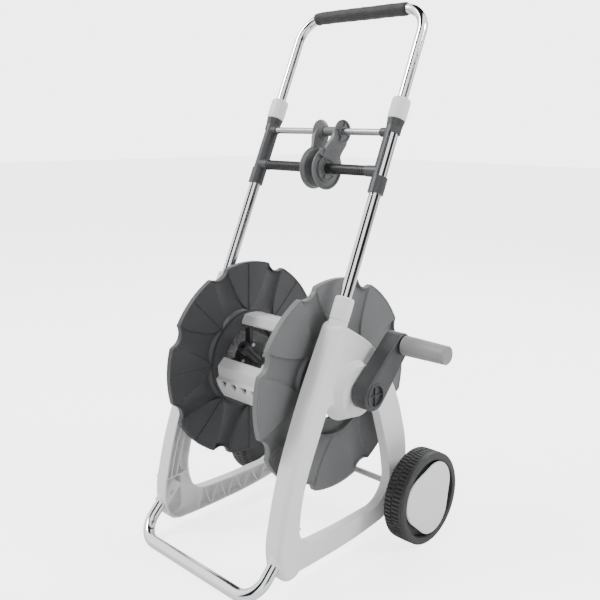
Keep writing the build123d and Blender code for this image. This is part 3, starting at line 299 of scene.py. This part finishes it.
chrome = bright_metal("chromed_steel", (0.80, 0.81, 0.83), 0.08, 0.15, 0.0)
satin = bright_metal("satin_steel", (0.40, 0.405, 0.415), 0.34, 0.46, 0.0)
zinc = bright_metal("zinc_plated_steel", (0.62, 0.63, 0.64), 0.28, 0.42, 0.08)

low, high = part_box("foot_bar")
foot_radius = 0.011
foot_rise = radians(46)
foot_y, foot_z = low.y + foot_radius, foot_radius
foot_reach = 0.112
foot_x = high.x - foot_radius
foot_tip = (foot_y + foot_reach * cos(foot_rise), foot_z + foot_reach * sin(foot_rise))
foot_wall = 0.0012
foot_bend = 0.042
foot_corners = [
    (low.x + foot_radius, *foot_tip),
    (low.x + foot_radius, foot_y, foot_z),
    (foot_x, foot_y, foot_z),
    (foot_x, *foot_tip),
]
foot_tube = tube(rounded_path(foot_corners, foot_bend), foot_radius, foot_radius - foot_wall)
foot_bar = mesh_piece("foot_bar_tube", [foot_tube], chrome, "cart_frame")
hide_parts("foot_bar")

# ------------------------------------------------------------------ side frames and clamp nuts
# White moulded shells, open towards the reel, with smooth barrel-shaped nuts that clamp the tubes.

# Moulded grain: a fine all-over texture for the bump, and faint blotches that change colour and gloss.
grain = shader_group(
    "moulded_grain",
    {"Grain Scale": 900.0, "Blotch Scale": 9.0, "Rough Low": 0.35, "Rough High": 0.5},
)
for label in ("Roughness", "Height", "Tint"):
    grain.interface.new_socket(label, in_out="OUTPUT", socket_type="NodeSocketFloat")
grain_in = grain.nodes.new("NodeGroupInput")
grain_out = grain.nodes.new("NodeGroupOutput")
grain_place = grain.nodes.new("ShaderNodeTexCoord")
pits = add_node(grain, "ShaderNodeTexNoise", Detail=3.0, Roughness=0.55)
blotch = add_node(grain, "ShaderNodeTexNoise", Detail=3.0, Roughness=0.5)
gloss = grain.nodes.new("ShaderNodeMapRange")
gloss.inputs["From Min"].default_value = 0.3
gloss.inputs["From Max"].default_value = 0.7
grain.links.new(grain_place.outputs["Object"], pits.inputs["Vector"])
grain.links.new(grain_place.outputs["Object"], blotch.inputs["Vector"])
grain.links.new(grain_in.outputs["Grain Scale"], pits.inputs["Scale"])
grain.links.new(grain_in.outputs["Blotch Scale"], blotch.inputs["Scale"])
grain.links.new(blotch.outputs["Fac"], gloss.inputs["Value"])
grain.links.new(grain_in.outputs["Rough Low"], gloss.inputs["To Min"])
grain.links.new(grain_in.outputs["Rough High"], gloss.inputs["To Max"])
grain.links.new(gloss.outputs["Result"], grain_out.inputs["Roughness"])
grain.links.new(pits.outputs["Fac"], grain_out.inputs["Height"])
grain.links.new(blotch.outputs["Fac"], grain_out.inputs["Tint"])


def moulded(name, colour, darker, rough_low, rough_high, bump, edge=0.0006):
    """Injection-moulded plastic: fine grain, faint colour blotches, softened edges."""
    made = bpy.data.materials.new(name)
    made.use_nodes = True
    tree = made.node_tree
    shader = tree.nodes["Principled BSDF"]
    texture = tree.nodes.new("ShaderNodeGroup")
    texture.node_tree = grain
    texture.inputs["Rough Low"].default_value = rough_low
    texture.inputs["Rough High"].default_value = rough_high
    tint = tree.nodes.new("ShaderNodeMix")
    tint.data_type = "RGBA"
    tint.inputs["A"].default_value = (*colour, 1)
    tint.inputs["B"].default_value = (*darker, 1)
    soft_edge = tree.nodes.new("ShaderNodeBevel")
    soft_edge.samples = 4
    soft_edge.inputs["Radius"].default_value = edge
    relief = add_node(tree, "ShaderNodeBump", Strength=bump, Distance=0.0002)
    tree.links.new(texture.outputs["Tint"], tint.inputs["Factor"])
    tree.links.new(tint.outputs["Result"], shader.inputs["Base Color"])
    tree.links.new(texture.outputs["Roughness"], shader.inputs["Roughness"])
    tree.links.new(texture.outputs["Height"], relief.inputs["Height"])
    tree.links.new(soft_edge.outputs["Normal"], relief.inputs["Normal"])
    tree.links.new(relief.outputs["Normal"], shader.inputs["Normal"])
    return made


white = moulded("white_plastic", (0.94, 0.94, 0.94), (0.90, 0.90, 0.905), 0.38, 0.52, 0.10)
dark = moulded("dark_grey_plastic", (0.052, 0.054, 0.057), (0.040, 0.042, 0.045), 0.36, 0.5, 0.14)
mid_grey = moulded("mid_grey_plastic", (0.150, 0.154, 0.156), (0.128, 0.131, 0.134), 0.40, 0.54, 0.14)
pale_grey = moulded("pale_grey_plastic", (0.72, 0.72, 0.72), (0.66, 0.66, 0.665), 0.36, 0.5, 0.10)
grip_grey = moulded("grip_grey_plastic", (0.30, 0.30, 0.305), (0.25, 0.25, 0.255), 0.40, 0.55, 0.12)
black = moulded("black_plastic", (0.020, 0.020, 0.021), (0.014, 0.014, 0.015), 0.34, 0.46, 0.14)
acetal = moulded("acetal", (0.74, 0.73, 0.69), (0.70, 0.69, 0.65), 0.28, 0.36, 0.06)


def dress(material, *names):
    """Gives CAD nodes a material in place of their plain one."""
    for name in names:
        mesh = nodes[name].data
        mesh.materials.clear()
        mesh.materials.append(material)


dress(white, "left_side_frame", "right_side_frame")
dress(zinc, "foot_bar_screws")
dress(dark, "left_frame_collet", "right_frame_collet", "left_handle_collet", "right_handle_collet")

lean = radians(23.2)
tube_up = np.array((0.0, sin(lean), cos(lean)))
tube_back = np.array((0.0, cos(lean), -sin(lean)))
across_x = np.array((1.0, 0.0, 0.0))
floor_line_y = -0.22175
cart_shift_x = -0.0335
right_tube_x = 0.16 + cart_shift_x
left_tube_x = -0.16 + cart_shift_x

# Distances up the handle tubes from the floor line, and the tubes' radii.
frame_nut_foot, handle_nut_foot = 0.495, 0.874
outer_tube_foot, outer_tube_top = 0.452, 0.888
handle_foot, handle_top = 0.762, 1.104
outer_tube_radius, outer_tube_bore = 0.011, 0.0101
handle_radius, handle_bore = 0.0098, 0.0086
handle_bend = 0.052
slide_gap = 0.0003


def mast_point(x, distance):
    """Point on a handle tube's axis: x across, and a distance up the tube from the floor line."""
    return np.array((x, floor_line_y, 0.0)) + tube_up * distance


def turned(profile, foot, axis, side, other, sides=64):
    """Solid of revolution: point = foot + height * axis + radius * (cos v * side + sin v * other), from a
    closed profile of (height, radius) pairs."""
    profile = np.array(profile, float)
    turn = np.linspace(0, 2 * pi, sides, endpoint=False)[None, :, None]
    radius = profile[:, 1][:, None, None]
    around = radius * (np.cos(turn) * side + np.sin(turn) * other)
    points = foot + profile[:, 0][:, None, None] * axis + around
    return points.reshape(-1, 3), grid_faces(len(profile), sides, True, True)


def nut_profile(hole):
    """Closed section of a clamp nut: rounded barrel outside, wide bore and a lip inside."""
    return [
        (0.0, 0.0147), (0.0, 0.0164), (0.0006, 0.0170), (0.0018, 0.0174), (0.0035, 0.0175), (0.0200, 0.0176),
        (0.0350, 0.0175), (0.0380, 0.0173), (0.0402, 0.0166), (0.0415, 0.0152), (0.0420, 0.0138),
        (0.0420, hole + 0.0006), (0.0412, hole), (0.0360, hole), (0.0360, 0.0147),
    ]


for side_name, x in (("left", left_tube_x), ("right", right_tube_x)):
    for kind, distance, hole, body in (
        ("frame", frame_nut_foot, outer_tube_radius + slide_gap, f"{side_name}_frame_clamp"),
        ("handle", handle_nut_foot, handle_radius + slide_gap, f"{side_name}_handle_clamp"),
    ):
        section = turned(nut_profile(hole), mast_point(x, distance), tube_up, across_x, tube_back, 120)
        nut = mesh_piece(f"{side_name}_{kind}_nut_barrel", [section], white, body)
        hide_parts(f"{side_name}_{kind}_nut")

# ------------------------------------------------------------------ handle tubes, brackets and handle
# Chromed tubes telescope in each other; grey brackets on the outer ones carry the rods for the hose guide.
for side_name, x in (("left", left_tube_x), ("right", right_tube_x)):
    distances = np.linspace(outer_tube_foot, outer_tube_top, 12)
    path = np.array([mast_point(x, distance) for distance in distances])
    wall = tube(path, outer_tube_radius, outer_tube_bore, 64)
    outer_tube = mesh_piece(f"{side_name}_outer_tube_steel", [wall], chrome, "mast")
    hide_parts(f"{side_name}_outer_tube")
dress(dark, "left_bracket", "right_bracket")

handle_corners = [
    mast_point(left_tube_x, handle_foot),
    mast_point(left_tube_x, handle_top),
    mast_point(right_tube_x, handle_top),
    mast_point(right_tube_x, handle_foot),
]
handle_path = rounded_path(handle_corners, handle_bend, 22)
handle = mesh_piece("handle_bent_tube", [tube(handle_path, handle_radius, handle_bore, 56)], chrome, "handle")
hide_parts("handle_tube")

# The grip is a sleeve of closed-cell foam, pushed over the cross bar and a little way round one bend.
bend_centre = mast_point(left_tube_x + handle_bend, handle_top - handle_bend)
grip_right = mast_point(0.112 + cart_shift_x, handle_top)
grip_bend = mast_point(left_tube_x + handle_bend, handle_top)
straight = grip_right + (grip_bend - grip_right) * np.linspace(0, 1, 72)[:, None]
turn = np.radians(np.linspace(0, 20, 10))[1:, None]
curved = bend_centre + handle_bend * (np.cos(turn) * tube_up - np.sin(turn) * across_x)
grip_path = np.concatenate([straight, curved])
run = np.concatenate([[0], np.cumsum(np.linalg.norm(np.diff(grip_path, axis=0), axis=1))])
from_end = np.minimum(run, run[-1] - run)
grip_radius = 0.0130 - 0.0016 * np.exp(-from_end / 0.0012)
grip_radius = grip_radius + 0.00018 * np.sin(run * 190) * np.clip(from_end / 0.01, 0, 1)


def foam_sleeve(path, outer, inner, sides=56):
    """Tube wall whose outer skin is slightly uneven: its radius adds a few slow sines of turn and run."""
    skin = carried_ring(path, outer, sides)
    bore = carried_ring(path, inner, sides)[::-1]
    turn = np.linspace(0, 2 * pi, sides, endpoint=False)[None, :]
    uneven = 0.00012 * np.sin(3 * turn + run[:, None] * 60) + 0.0001 * np.sin(5 * turn - run[:, None] * 95)
    skin = skin + (skin - path[:, None]) / 0.013 * uneven[:, :, None]
    wall = np.concatenate([skin, bore])
    return wall.reshape(-1, 3), grid_faces(len(wall), sides, True, True)[:, ::-1]


foam = bpy.data.materials.new("closed_cell_foam")
foam.use_nodes = True
foam_tree = foam.node_tree
foam_shader = foam_tree.nodes["Principled BSDF"]
foam_shader.inputs["Sheen Weight"].default_value = 0.15
foam_place = foam_tree.nodes.new("ShaderNodeTexCoord")
cells = add_node(foam_tree, "ShaderNodeTexVoronoi", Scale=1500.0)
foam_tone = foam_tree.nodes.new("ShaderNodeValToRGB")
foam_tone.color_ramp.elements[0].color = (0.008, 0.008, 0.008, 1)
foam_tone.color_ramp.elements[1].color = (0.024, 0.024, 0.025, 1)
foam_gloss = add_node(foam_tree, "ShaderNodeTexNoise", Scale=70.0)
foam_range = foam_tree.nodes.new("ShaderNodeMapRange")
foam_range.inputs["To Min"].default_value = 0.55
foam_range.inputs["To Max"].default_value = 0.75
foam_relief = add_node(foam_tree, "ShaderNodeBump", Strength=0.35, Distance=0.0003)
foam_tree.links.new(foam_place.outputs["Object"], cells.inputs["Vector"])
foam_tree.links.new(foam_place.outputs["Object"], foam_gloss.inputs["Vector"])
foam_tree.links.new(cells.outputs["Distance"], foam_tone.inputs["Fac"])
foam_tree.links.new(foam_tone.outputs["Color"], foam_shader.inputs["Base Color"])
foam_tree.links.new(foam_gloss.outputs["Fac"], foam_range.inputs["Value"])
foam_tree.links.new(foam_range.outputs["Result"], foam_shader.inputs["Roughness"])
foam_tree.links.new(cells.outputs["Distance"], foam_relief.inputs["Height"])
foam_tree.links.new(foam_relief.outputs["Normal"], foam_shader.inputs["Normal"])
grip = mesh_piece("handle_foam_sleeve", [foam_sleeve(grip_path, grip_radius, 0.0100)], foam, "handle")
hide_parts("handle_grip")

# ------------------------------------------------------------------ hose guide
# Two keyhole-shaped cheeks and their spacer slide on a satin steel rod and a ribbed black one.
dress(satin, "guide_rod")
dress(black, "guide_ribbed_rod", "guide_roller")
dress(mid_grey, "guide_left_cheek", "guide_right_cheek", "guide_spacer")

# ------------------------------------------------------------------ reel flanges
# Each flange is a dished grey disc with eight leaf-shaped lobes round a raised hub ring.
reel_y, reel_z = 0.2345 + floor_line_y, 0.3205
flange_radius = 0.198


def notched_radius(turn):
    """Radius of the flange's edge: a circle, less a shallow round bite between every two lobes, with the
    corners rounded by a soft minimum of the two."""
    from_bite = np.mod(turn, pi / 4) - pi / 8
    far, bite, no_bite = 0.212, 0.026, 0.3
    inside = np.clip(bite**2 - (far * np.sin(from_bite)) ** 2, 0, None)
    bitten = np.where(inside > 0, far * np.cos(from_bite) - np.sqrt(inside), no_bite)
    sharp = 900.0
    return -np.log(np.exp(-sharp * flange_radius) + np.exp(-sharp * bitten)) / sharp


def valley_depth(radius, turn):
    """How far the face is sunk at a point: nothing on a lobe's leaf, whose half-width grows from the hub
    ring to the rim; between leaves, a step down and then a round trough, deepest on its middle line."""
    from_lobe = np.mod(turn + pi / 8, pi / 4) - pi / 8
    reach = np.clip((radius - 0.100) / 0.094, 0, 1.1)
    leaf = 0.0565 * reach**0.62
    gap = radius * pi / 8 - leaf
    beyond = radius * np.abs(from_lobe) - leaf
    step = np.clip(beyond / 0.0011, 0, 1)
    step = step * step * (3 - 2 * step)
    trough = 1 - np.clip((gap - beyond) / np.maximum(gap, 1e-5), 0, 1) ** 2
    return step * (0.0021 + 0.0022 * trough)


def flange_shell(x_rim, outwards):
    """Closed shell of one flange's disc, from grids over radius and turn: the face towards the drum, the
    rim, the face away from it, and the hub ring's wall. x runs outwards from the rim's inner edge."""
    turns = np.linspace(0, 2 * pi, 560, endpoint=False)
    edge = notched_radius(turns)
    share = np.linspace(0, 1, 76)[:, None]
    start = 0.098
    radius = start + (edge[None, :] - start) * share
    scaled = start + (flange_radius - start) * share * np.ones_like(turns)[None, :]
    sunk = valley_depth(scaled, turns[None, :])
    fade = np.clip((radius - start) / 0.006, 0, 1)
    near = 0.0012 + sunk * fade * (0.45 if outwards > 0 else 1.5)
    far = 0.0108 - sunk * fade * (1.5 if outwards > 0 else 0.45)
    rim_x = np.array((0.0006, 0.0, 0.0, 0.0006, 0.006, 0.0114, 0.012, 0.012, 0.0114))
    rim_r = np.array((-0.0030, -0.0024, -0.0006, 0.0, 0.0, 0.0, -0.0006, -0.0024, -0.0030))
    rows_x = np.concatenate([near[:-3], np.repeat(rim_x[:, None], len(turns), 1), far[:-3][::-1]])
    rows_r = np.concatenate([radius[:-3], edge[None, :] + rim_r[:, None], radius[:-3][::-1]])
    points = np.stack(
        [x_rim + outwards * rows_x, reel_y + rows_r * np.cos(turns), reel_z + rows_r * np.sin(turns)], -1
    )
    faces = grid_faces(len(rows_x), len(turns), True, True)
    return points.reshape(-1, 3), faces if outwards > 0 else faces[:, ::-1]


def reel_turned(profile, x_rim, outwards, sides=144):
    """Closed section of (x outwards from the rim, radius) pairs turned round the reel's axis."""
    foot = np.array((x_rim, reel_y, reel_z))
    axis = across_x * outwards
    points, faces = turned(profile, foot, axis, np.array((0.0, 1.0, 0.0)), np.array((0.0, 0.0, 1.0)), sides)
    return points, faces[:, ::-1] if outwards > 0 else faces


def reel_bar(x_rim, outwards, turn, radius_low, radius_high, width, x_low, x_high):
    """Straight bar along a radius of the reel, with its long edges cut back by a small flat."""
    cut = 0.0006
    half = width / 2
    section = np.array(
        [(x_low, -half + cut), (x_low, half - cut), (x_low + cut, half), (x_high - cut, half),
         (x_high, half - cut), (x_high, -half + cut), (x_high - cut, -half), (x_low + cut, -half)]
    )
    out = np.array((0.0, cos(turn), sin(turn)))
    side = np.array((0.0, -sin(turn), cos(turn)))
    rings = []
    for radius in (radius_low, radius_high):
        centre = np.array((x_rim, reel_y, reel_z)) + out * radius
        rings.append(centre + outwards * section[:, :1] * across_x + section[:, 1:] * side)
    points = np.concatenate(rings)
    count = len(section)
    around = np.arange(count)
    faces = [(int(i), int((i + 1) % count), int((i + 1) % count + count), int(i + count)) for i in around]
    faces += [tuple(int(i) for i in around[::-1]), tuple(int(i + count) for i in around)]
    if outwards > 0:
        faces = [face[::-1] for face in faces]
    return points, faces


hub_section = [
    (0.0012, 0.0985), (-0.0052, 0.0980), (-0.0058, 0.0976), (-0.006, 0.0968), (-0.006, 0.0672),
    (-0.0058, 0.0664), (-0.0052, 0.0660), (0.0080, 0.0660), (0.0080, 0.0690), (-0.0020, 0.0690),
    (-0.0020, 0.0950), (0.0100, 0.0950), (0.0100, 0.0985),
]
left_rim, right_rim, boss_reach = 0.119, 0.110, 0.138
for side_name, rim, outwards in (("left", left_rim, -1), ("right", right_rim, 1)):
    x_rim = cart_shift_x + outwards * rim
    boss_end = boss_reach - rim
    boss_section = [(-0.006, 0.0151), (-0.006, 0.0220), (boss_end, 0.0220), (boss_end, 0.0151)]
    parts = [flange_shell(x_rim, outwards), reel_turned(hub_section, x_rim, outwards)]
    parts.append(reel_turned(boss_section, x_rim, outwards, 72))
    for quarter in range(4):
        parts.append(reel_bar(x_rim, outwards, quarter * pi / 2, 0.020, 0.068, 0.009, -0.006, 0.008))
    for lobe in range(8):
        parts.append(reel_bar(x_rim, outwards, lobe * pi / 4, 0.0975, 0.1955, 0.0016, -0.0006, 0.003))
    # Painted shade: both flanges are the same mid grey plastic, and the left one gets the dark grey only
    # because its inner face lies in the shade of the right flange and frame.
    flange = mesh_piece(f"{side_name}_flange_disc", parts, dark if outwards < 0 else mid_grey, "reel")
    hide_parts(f"{side_name}_flange")

# ------------------------------------------------------------------ drum, shafts and water fittings
# Pale boards join the flanges; steel screws hold them, and the shafts turn in plain bushes.
dress(pale_grey, "hub_slat_1", "hub_slat_2", "hub_slat_3")
dress(dark, "outlet_elbow", "crank_shaft", "water_shaft")
dress(zinc, "slat_screws", "hub_screws", "crank_screw", "crank_grip_pin", "axle_clips")
dress(acetal, "left_reel_bush", "right_reel_bush")
dress(dark, "inlet_connector")
dress(black, "inlet_seals")

# ------------------------------------------------------------------ crank
# A dark arm on the shaft's hexagon, with a crossed cap over its screw and a grey turning grip.
dress(dark, "crank_arm", "crank_cap")
dress(grip_grey, "crank_grip")

# ------------------------------------------------------------------ wheels
# Plastic tyres with two rows of short blocks on a dark rim, closed by a white three-cornered cap.
dress(satin, "rear_axle")
dress(dark, "left_wheel_rim", "right_wheel_rim")
tyre_grey = moulded("tyre_plastic", (0.040, 0.041, 0.043), (0.030, 0.031, 0.033), 0.5, 0.66, 0.2)
wheel_y, wheel_z = 0.372 + floor_line_y, 0.089
wheel_half = 0.0225
wheel_middle, cap_face = 0.2205, 0.2432


def tyre_shell(x_middle, outwards):
    """Closed tyre from a section carried round the axle: the radius drops in a groove between two rows
    of short blocks and in the slots between the blocks; the outer shoulder is a smooth band."""
    blocks = 72
    turns = np.linspace(0, 2 * pi, blocks * 10, endpoint=False)
    groove_middle, rows_end = -0.17, 0.60
    across = np.array(
        (-1, -0.97, -0.93, -0.90, -0.60, -0.26, -0.22, -0.19, -0.16, -0.12)
        + (-0.08, 0.2, 0.54, 0.58, 0.62, 0.76, 0.90, 0.95, 1)
    )
    crown = 0.089 - 0.0006 * across**2
    shoulder = np.clip((np.abs(across) - 0.90) / 0.10, 0, 1)
    crown = crown - 0.0045 * shoulder**2
    groove = 0.0024 * np.clip((0.06 - np.abs(across - groove_middle)) / 0.04, 0, 1)
    phase = turns[None, :] * blocks / (2 * pi) + np.where(across > groove_middle, 0.5, 0.0)[:, None]
    gap = np.abs(np.mod(phase, 1.0) - 0.5)
    slot = np.clip((gap - 0.33) / 0.06, 0, 1)
    reach = np.clip((np.abs(across - groove_middle) - 0.02) / 0.04, 0, 1)
    reach = reach * np.clip((rows_end - across) / 0.05, 0, 1)
    radius = crown[:, None] - groove[:, None] - 0.0024 * slot * reach[:, None]
    x_tread = np.repeat((across * wheel_half)[:, None], len(turns), 1)
    wall_x = np.array((1.0, 0.99, 0.93, 0.915, 0.911, -0.995, -1.0))
    wall_r = np.array((0.0800, 0.0752, 0.0750, 0.0770, 0.0791, 0.0791, 0.0810))
    x_wall = np.repeat((wall_x * wheel_half)[:, None], len(turns), 1)
    r_wall = np.repeat(wall_r[:, None], len(turns), 1)
    rows_x = np.concatenate([x_tread, x_wall])
    rows_r = np.concatenate([radius, r_wall])
    points = np.stack(
        [x_middle + outwards * rows_x, wheel_y + rows_r * np.cos(turns), wheel_z + rows_r * np.sin(turns)], -1
    )
    faces = grid_faces(len(rows_x), len(turns), True, True)
    return points.reshape(-1, 3), faces[:, ::-1] if outwards > 0 else faces


def cap_edge(turn):
    """Radius of the cap's outline: the farthest reach of three overlapping circles and the straight
    tangents between them, from the support of the shape in each direction."""
    corner_far, corner_round = 0.025, 0.0485
    samples = np.linspace(0, 2 * pi, 1440, endpoint=False)
    corners = np.radians((49, 169, 289))
    support = corner_round + corner_far * np.max(np.cos(samples[:, None] - corners[None, :]), axis=1)
    spread = np.cos(turn[:, None] - samples[None, :])
    return np.min(np.where(spread > 0.05, support[None, :] / np.maximum(spread, 0.05), 1.0), axis=1)


def cap_shell(x_face, outwards):
    """Closed domed plate: the face rises as 1 - share^2 over a share of the outline's radius, with a
    rounded rim and a flat back."""
    turns = np.linspace(0, 2 * pi, 240, endpoint=False)
    edge = cap_edge(turns)
    front = (0.0, 0.1, 0.2, 0.3, 0.4, 0.5, 0.6, 0.7, 0.8, 0.88, 0.93, 0.965, 0.985, 0.996, 1.0)
    share = np.array(front + (1.0, 0.99, 0.9, 0.5, 0.0))
    height = np.array((0.0,) * 12 + (-0.0003, -0.0009, -0.0018, -0.0030) + (-0.0034,) * 4)
    dome = np.where(np.arange(len(share)) < len(front), 0.0042 * (1 - share**2), 0.0)
    rows_r = np.maximum(share, 1e-4)[:, None] * edge[None, :]
    rows_x = np.repeat((height + dome)[:, None], len(turns), 1)
    points = np.stack(
        [x_face + outwards * rows_x, wheel_y + rows_r * np.cos(turns), wheel_z + rows_r * np.sin(turns)], -1
    )
    faces = grid_faces(len(rows_x), len(turns), False, True)
    last_row = range((len(share) - 1) * len(turns), len(share) * len(turns))
    faces = [tuple(face) for face in faces.tolist()]
    faces += [tuple(range(len(turns)))[::-1], tuple(last_row)]
    if outwards < 0:
        faces = [face[::-1] for face in faces]
    return points.reshape(-1, 3), faces


for side_name, outwards in (("left", -1), ("right", 1)):
    wheel = f"{side_name}_wheel"
    x_middle = cart_shift_x + outwards * wheel_middle
    x_face = cart_shift_x + outwards * cap_face
    tyre = mesh_piece(f"{side_name}_tyre_treaded", [tyre_shell(x_middle, outwards)], tyre_grey, wheel)
    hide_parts(f"{side_name}_tyre")
    cap = mesh_piece(f"{side_name}_wheel_cap_domed", [cap_shell(x_face, outwards)], white, wheel)
    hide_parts(f"{side_name}_wheel_cap")
